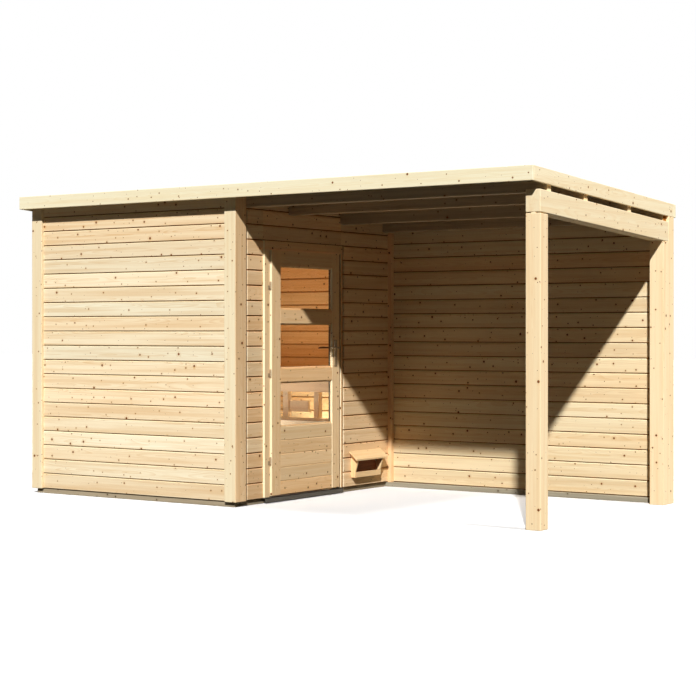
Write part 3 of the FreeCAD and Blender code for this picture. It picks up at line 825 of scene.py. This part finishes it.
def threshold():
    """A bent metal sheet over the sill, with shallow ribs before the leaf."""
    low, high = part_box("threshold")
    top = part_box("casing_front")[0].z
    sheet = Timbers("threshold_sheet")
    thick = 0.004
    sheet.plank((low.x, low.y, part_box("sill_front")[1].z), (high.x, high.y, top), "y", 0.001, 2)
    sheet.plank((high.x - thick, low.y, low.z), (high.x, high.y, top - 0.001), "y", 0.001, 2)
    leaf_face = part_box("door_stile_hinge")[1].x
    rib_pitch = 0.006
    rib_width = 0.003
    rib_height = 0.0006
    for number in range(5):
        x = high.x - rib_pitch - number * rib_pitch
        if x > leaf_face + 0.004:
            sheet.plank((x - rib_width, low.y + 0.002, top - rib_height),
                        (x, high.y - 0.002, top), "y", 0.0003)
    sheet.finish(DARK_METAL, slot="dark_metal", nodes=["threshold"])


def door_leaf():
    for name in ("door_stile_hinge", "door_stile_lock"):
        low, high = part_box(name)
        stile = Timbers(name + "_board")
        stile.plank(low, high, "z", 0.003, 2, wide="y")
        lit_front_edges(stile.finish(SPRUCE_DOOR, "door", "spruce_door", [name]))
    for name in ("door_rail_top", "door_rail_middle", "door_rail_lower"):
        low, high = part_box(name)
        rail = Timbers(name + "_board")
        rail.plank(low, high, "y", 0.003, 2, wide="z")
        rail.finish(SPRUCE_DOOR, "door", "spruce_door", [name])
    low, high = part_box("door_panel")
    panel = Timbers("door_panel_boards")
    count = 5
    gap = 0.0008
    pitch = (high.z - low.z) / count
    for number in range(count):
        start = low.z + number * pitch
        panel.plank((low.x, low.y, start), (high.x, high.y, start + pitch - gap), "y", 0.004, 1,
                    wide="z")
    panel.finish(SPRUCE_DOOR, "door", "spruce_door", ["door_panel"])


def panes():
    """The three panes, each between two frames of glazing beads."""
    bead = 0.011
    outer_bead = 0.006
    inner_bead = 0.012
    leaf_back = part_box("door_stile_hinge")[0].x
    beads = Timbers("glazing_beads")
    for name in ("pane_upper", "pane_middle", "pane_lower"):
        low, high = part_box(name)
        glass = Timbers(name + "_glass")
        glass.plank(low, high, "z", 0.0005)
        glass.finish(DOOR_GLASS, "door", "door_glass", [name])
        for back, front in ((max(low.x - inner_bead, leaf_back + 0.003), low.x),
                            (high.x, high.x + outer_bead)):
            for z in (low.z, high.z - bead):
                beads.plank((back, low.y, z), (front, high.y, z + bead), "y", 0.003, 2)
            for y in (low.y, high.y - bead):
                beads.plank((back, y, low.z + bead), (front, y + bead, high.z - bead), "z",
                            0.003, 2)
    piece = beads.finish(SPRUCE_DOOR, "door", "spruce_door")
    lit_front_edges(piece)
    # the inner beads at the lock's side stand in the room's shade
    lock_side = high.y - bead - 0.0005
    refaced(piece, SHADED_BEAD,
            lambda face: face.center.x < low.x + 0.0005 and face.center.y > lock_side)


# Hinges and handles

def round_bar(mesh, start, end, radius, end_radius=None, segments=28):
    """A turned bar between two points."""
    run = end - start
    turn = run.to_track_quat("Z", "Y").to_matrix().to_4x4()
    made = bmesh.ops.create_cone(
        mesh, cap_ends=True, segments=segments, radius1=radius,
        radius2=radius if end_radius is None else end_radius, depth=run.length)["verts"]
    bmesh.ops.transform(mesh, matrix=turn, verts=made)
    bmesh.ops.translate(mesh, vec=(start + end) / 2, verts=made)


def block(mesh, low, high, eased, segments=2):
    """A squared bar with eased edges between two corners."""
    made = bmesh.ops.create_cube(mesh, size=1.0)["verts"]
    bmesh.ops.scale(mesh, vec=Vector(high) - Vector(low), verts=made)
    bmesh.ops.translate(mesh, vec=(Vector(low) + Vector(high)) / 2, verts=made)
    edges = sorted({e for v in made for e in v.link_edges}, key=lambda e: e.index)
    bmesh.ops.bevel(mesh, geom=edges, offset=eased, offset_type="OFFSET", segments=segments,
                    profile=0.5, affect="EDGES", material=-1)


def metal_piece(name, mesh, finish, body, nodes):
    """One piece of steel, smooth all over but for its sharp edges."""
    data = bpy.data.meshes.new(name)
    mesh.normal_update()
    for face in mesh.faces:
        face.smooth = True
    for edge in mesh.edges:
        if len(edge.link_faces) == 2 and edge.calc_face_angle(0.0) > math.radians(32):
            edge.smooth = False
    mesh.to_mesh(data)
    mesh.free()
    place_piece(name, data, finish, body, nodes)


def hinges():
    """Three barrel hinges: the casing's half below, the leaf's half above on the same pin."""
    low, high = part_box("hinges_frame")
    leaf_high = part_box("hinges_leaf")[1]
    radius = 0.007
    barrel = radius * 0.96
    barrel_tip = radius * 0.45
    tip_length = 0.004
    plate = 0.002
    eased = 0.0006
    slack = 0.001
    length = 0.06
    half = (length - slack) / 2
    spacing = (leaf_high.z - length - low.z) / 2
    axis_x = high.x - radius
    axis_y = high.y - radius

    def on_pin(z):
        return Vector((axis_x, axis_y, z))

    fixed = bmesh.new()
    swung = bmesh.new()
    for number in range(3):
        foot = low.z + number * spacing
        split = foot + half
        top = foot + length
        block(fixed, (low.x, low.y, foot), (low.x + plate, axis_y, split), eased)
        block(fixed, (low.x, axis_y - plate, foot), (axis_x, axis_y, split), eased)
        round_bar(fixed, on_pin(foot + tip_length), on_pin(split), barrel)
        round_bar(fixed, on_pin(foot), on_pin(foot + tip_length), barrel_tip, barrel)
        for height in (0.007, 0.022):
            screw = Vector((low.x + plate, low.y + 0.007, foot + height))
            round_bar(fixed, screw, screw + Vector((0.0012, 0.0, 0.0)), 0.0036, 0.0022, 16)
        block(swung, (axis_x - plate, axis_y, split + slack), (axis_x + plate, leaf_high.y, top),
              eased)
        round_bar(swung, on_pin(split + slack), on_pin(top - tip_length), barrel)
        round_bar(swung, on_pin(top - tip_length), on_pin(top), barrel, barrel_tip)
    metal_piece("hinges_frame_steel", fixed, DARK_STEEL, "cabin", ["hinges_frame"])
    metal_piece("hinges_leaf_steel", swung, DARK_STEEL, "door", ["hinges_leaf"])


def lever(mesh, path, radii, sides):
    """A bent bar: a disc extruded and turned from point to point along its path."""
    start = (path[1] - path[0]).normalized()
    ring = bmesh.ops.create_circle(mesh, cap_ends=True, segments=sides, radius=1.0)["verts"]
    turn = start.to_track_quat("Z", "Y")
    bmesh.ops.scale(mesh, vec=Vector((radii[0], radii[0], radii[0])), verts=ring)
    bmesh.ops.rotate(mesh, cent=(0, 0, 0), matrix=turn.to_matrix(), verts=ring)
    bmesh.ops.translate(mesh, vec=path[0], verts=ring)
    face = ring[0].link_faces[0]
    before = start
    for number in range(1, len(path)):
        ahead = path[min(number + 1, len(path) - 1)] - path[number - 1]
        ahead.normalize()
        drawn = bmesh.ops.extrude_face_region(mesh, geom=[face])["geom"]
        verts = [v for v in drawn if isinstance(v, bmesh.types.BMVert)]
        new_face = [f for f in drawn if isinstance(f, bmesh.types.BMFace)][0]
        if number > 1:
            bmesh.ops.delete(mesh, geom=[face], context="FACES_ONLY")
        bmesh.ops.translate(mesh, vec=path[number] - path[number - 1], verts=verts)
        spin = before.rotation_difference(ahead)
        bmesh.ops.rotate(mesh, cent=path[number], matrix=spin.to_matrix(), verts=verts)
        size = radii[number] / radii[number - 1]
        bmesh.ops.translate(mesh, vec=-path[number], verts=verts)
        bmesh.ops.scale(mesh, vec=Vector((size, size, size)), verts=verts)
        bmesh.ops.translate(mesh, vec=path[number], verts=verts)
        face = new_face
        before = ahead
    bmesh.ops.recalc_face_normals(mesh, faces=mesh.faces[:])


def handle(node, side, finish):
    """A long plate with a curved lever, a keyhole and two screws."""
    low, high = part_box(node)
    mesh = bmesh.new()
    out = Vector((side, 0.0, 0.0))
    reach = abs(high.x - low.x)
    face = low.x if side > 0 else high.x
    plate_thick = 0.006
    plate_width = 0.04
    plate_low = min(face, face + side * plate_thick)
    plate_y = high.y - plate_width / 2
    block(mesh, (plate_low, high.y - plate_width, low.z),
          (plate_low + plate_thick, high.y, high.z), 0.0022, 3)

    lever_height = 0.147
    key_height = 0.075
    screw_heights = (0.014, 0.194)
    pivot = Vector((face, plate_y, low.z + lever_height))
    collar = 0.006
    round_bar(mesh, pivot + out * plate_thick, pivot + out * (plate_thick + collar), 0.013, 0.0115)
    arm = reach - 0.008
    bend = 0.012
    path = [pivot + out * plate_thick, pivot + out * (arm - bend)]
    for number in range(1, 6):
        angle = math.radians(18 * number)
        path.append(pivot + out * (arm - bend + bend * math.sin(angle))
                    + Vector((0, -bend * (1 - math.cos(angle)), 0)))
    far = path[-1]
    tip = low.y
    length = far.y - tip
    path.append(far + Vector((0, -0.4 * length, 0.0012)))
    path.append(far + Vector((0, -0.8 * length, 0.0)))
    path.append(Vector((far.x, tip, far.z - 0.002)))
    lever(mesh, path, [0.0066] * 7 + [0.0078, 0.0072, 0.005], 16)

    for height in screw_heights:
        screw = Vector((face + side * plate_thick, plate_y, low.z + height))
        round_bar(mesh, screw, screw + out * 0.0012, 0.0042, 0.003, 18)
    key = Vector((face + side * plate_thick, plate_y, low.z + key_height))
    round_bar(mesh, key, key + out * 0.001, 0.0085, 0.0075, 24)
    metal_piece(node + "_steel", mesh, finish, "door", [node])


# Vent hood

def vent_hood():
    """A box under a sloping lid, with a low front lip and an open mouth over it."""
    low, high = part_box("vent_hood")
    lid_low, lid_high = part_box("vent_hood_lid")
    board = 0.016
    lid_thick = 0.015
    lip = 0.045
    foot = low.x + 0.042
    fall = (lid_high.z - lid_low.z - lid_thick) / (lid_high.x - lid_low.x)
    back_top = lid_high.z - lid_thick
    front_top = back_top - fall * (high.x - low.x)
    hood = Timbers("vent_hood_boards")
    for y in (low.y, high.y - board):
        hood.profile([(low.x, low.z), (foot, low.z), (foot, low.z + lip), (high.x, front_top),
                      (low.x, back_top)], "y", y, y + board)
        hood.ease(0.0015, 2)
        hood.grown("z", "x")
    hood.plank((foot - board, low.y + board, low.z), (foot, high.y - board, low.z + lip), "y",
               0.0015, 2, wide="z")
    hood.plank((low.x, low.y + board, low.z), (foot - board, high.y - board, low.z + board), "y",
               0.0015, 2, wide="x")
    # a thin panel against the wall at the back of the mouth, whose face takes the painted shade
    # below
    hood.plank((low.x, low.y + board, low.z + board),
               (low.x + 0.003, high.y - board, back_top - 0.004), "y", 0.0)
    piece = hood.finish(HOOD_BOARDS, slot="spruce_trim", nodes=["vent_hood"])
    # painted shade: the faces inside the hood's mouth get a dark wood
    refaced(piece, HOOD_INSIDE_SHADE,
            lambda face: (low.y + board < face.center.y < high.y - board
                          and face.center.x < foot - 0.5 * board
                          and face.center.z > low.z + 0.5 * board))
    lid = Timbers("vent_hood_lid_board")
    lid.profile([(lid_low.x, lid_high.z - lid_thick), (lid_high.x, lid_low.z),
                 (lid_high.x, lid_low.z + lid_thick), (lid_low.x, lid_high.z)],
                "y", lid_low.y, lid_high.y)
    lid.ease(0.002, 2)
    lid.grown("y", "x")
    lid.finish(HOOD_BOARDS, slot="spruce_trim", nodes=["vent_hood_lid"])


# Benches

def benches():
    for name in ("bench_upper_seat", "bench_lower_seat"):
        low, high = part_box(name)
        seat = Timbers(name + "_slats")
        boards_between(seat, low, high, "x", "y", width=0.084, gap=0.011, eased=0.004)
        seat.finish(BENCH_WOOD, slot="bench_wood", nodes=[name])
    low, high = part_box("bench_upper_front")
    front = Timbers("bench_upper_front_board")
    front.plank(low, high, "x", 0.004, 2)
    front.finish(BENCH_WOOD, slot="bench_wood", nodes=["bench_upper_front"])
    low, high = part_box("bench_lower_front")
    front = Timbers("bench_lower_front_boards")
    boards_between(front, low, high, "x", "z", width=0.088, gap=0.008, eased=0.004)
    front.finish(BENCH_WOOD, slot="bench_wood", nodes=["bench_lower_front"])
    low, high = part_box("bench_legs")
    legs = Timbers("bench_legs_timber")
    leg = 0.052
    for x in (low.x, high.x - leg):
        legs.plank((x, low.y, low.z), (x + leg, low.y + leg, high.z), "z", 0.004, 2)
    rail_reach = 0.193
    rail_front, rail_back = 0.026, 0.054
    rail_low, rail_high = 0.635, 0.726
    legs.plank((low.x + leg, low.y + rail_front, rail_low),
               (low.x + leg + rail_reach, low.y + rail_back, rail_high), "x", 0.003, 2)
    legs.finish(BENCH_WOOD, slot="bench_wood", nodes=["bench_legs"])


sills()
floor()
posts()
walls()
joists()
roof_deck()
roof_felt()
fascias()
door_casing()
threshold()
door_leaf()
panes()
hinges()
handle("handle_outside", 1, DARK_STEEL)
# painted shade: the inner handle takes the darker copy of the steel
handle("handle_inside", -1, SHADED_INNER_STEEL)
vent_hood()
benches()


# Studio floor, light and camera

def studio_floor():
    """Shows white, but throws little light back onto the building."""
    mesh = bmesh.new()
    bmesh.ops.create_grid(mesh, x_segments=1, y_segments=1, size=60.0)
    data = bpy.data.meshes.new("studio_floor")
    mesh.to_mesh(data)
    mesh.free()
    ground = bpy.data.objects.new("studio_floor", data)
    bpy.context.scene.collection.objects.link(ground)
    finish, tree, shader = material("pale studio floor")
    shader.inputs["Roughness"].default_value = 0.9
    shader.inputs["Specular IOR Level"].default_value = 0.0
    path = add(tree, "ShaderNodeLightPath")
    white = (0.96, 0.96, 0.96, 1)
    dark = (0.03, 0.027, 0.022, 1)
    feed(tree, shader.inputs["Base Color"],
         blend(tree, path.outputs["Is Diffuse Ray"], white, dark))
    data.materials.append(finish)


def lamp(name, kind, place, towards, strength):
    light = bpy.data.lights.new(name, kind)
    light.energy = strength
    holder = bpy.data.objects.new(name, light)
    holder.location = place
    holder.rotation_euler = Vector(towards).to_track_quat("-Z", "Y").to_euler()
    bpy.context.scene.collection.objects.link(holder)
    return light


def distant_lamp(name, place, towards, strength, degrees):
    light = lamp(name, "SUN", place, towards, strength)
    light.angle = math.radians(degrees)


def room_lamp(name, place, towards, strength, size, tint):
    """A small lamp inside the cabin that lights the room but doesn't show itself."""
    light = lamp(name, "AREA", place, towards, strength)
    light.size = size
    light.color = tint
    holder = bpy.data.objects[name]
    holder.visible_camera = False
    holder.visible_transmission = False
    holder.visible_glossy = False


def studio_light():
    world = bpy.data.worlds.new("studio")
    bpy.context.scene.world = world
    world.use_nodes = True
    tree = world.node_tree
    soft = tree.nodes["Background"]
    soft.inputs[0].default_value = (1.0, 0.9, 0.76, 1.0)
    soft.inputs[1].default_value = 0.018
    white = add(tree, "ShaderNodeBackground", {0: (1, 1, 1, 1), 1: 1.0})
    path = add(tree, "ShaderNodeLightPath")
    seen = sums(tree, "MAXIMUM", path.outputs["Is Camera Ray"],
                sums(tree, "MAXIMUM", path.outputs["Is Glossy Ray"],
                     path.outputs["Is Transmission Ray"]))
    mix = add(tree, "ShaderNodeMixShader", {0: seen, 1: soft.outputs[0], 2: white.outputs[0]})
    feed(tree, tree.nodes["World Output"].inputs["Surface"], mix.outputs[0])
    distant_lamp("sun", (0, 0, 5), (-0.59, 1.0, -0.89), 4.35, 1.6)
    distant_lamp("high_lamp_right", (3, 0, 5), (-0.56, 0.02, -0.83), 2.3, 10)
    distant_lamp("back_lamp", (-3, 3, 5), (0.55, -1.0, -0.5), 1.7, 12)
    room_lamp("cabin_lamp", (-1.0, 0.0, 1.5), (-0.05, 1.0, -0.1), 4.0, 0.6, (1.0, 0.56, 0.31))
    room_lamp("bench_front_lamp", (-1.0, -0.3, 0.42), (0.0, 1.0, 0.15), 6.6, 0.4,
              (1.0, 0.95, 0.86))
    room_lamp("bench_lamp", (-0.85, 0.72, 0.12), (0.25, 1.0, 0.3), 16.5, 0.3, (0.8, 0.9, 1.0))


def photo_camera():
    view = bpy.data.cameras.new("photo_view")
    view.sensor_width = 36.0
    view.lens = 86.48
    view.shift_y = -0.0246
    view.clip_end = 200.0
    holder = bpy.data.objects.new("photo_view", view)
    holder.location = (7.5149, -10.799, 1.3143)
    holder.rotation_euler = Euler((math.radians(90), 0.0, math.radians(34.493)))
    bpy.context.scene.collection.objects.link(holder)
    bpy.context.scene.camera = holder


studio_floor()
studio_light()
photo_camera()
bpy.context.scene.view_settings.view_transform = "Standard"
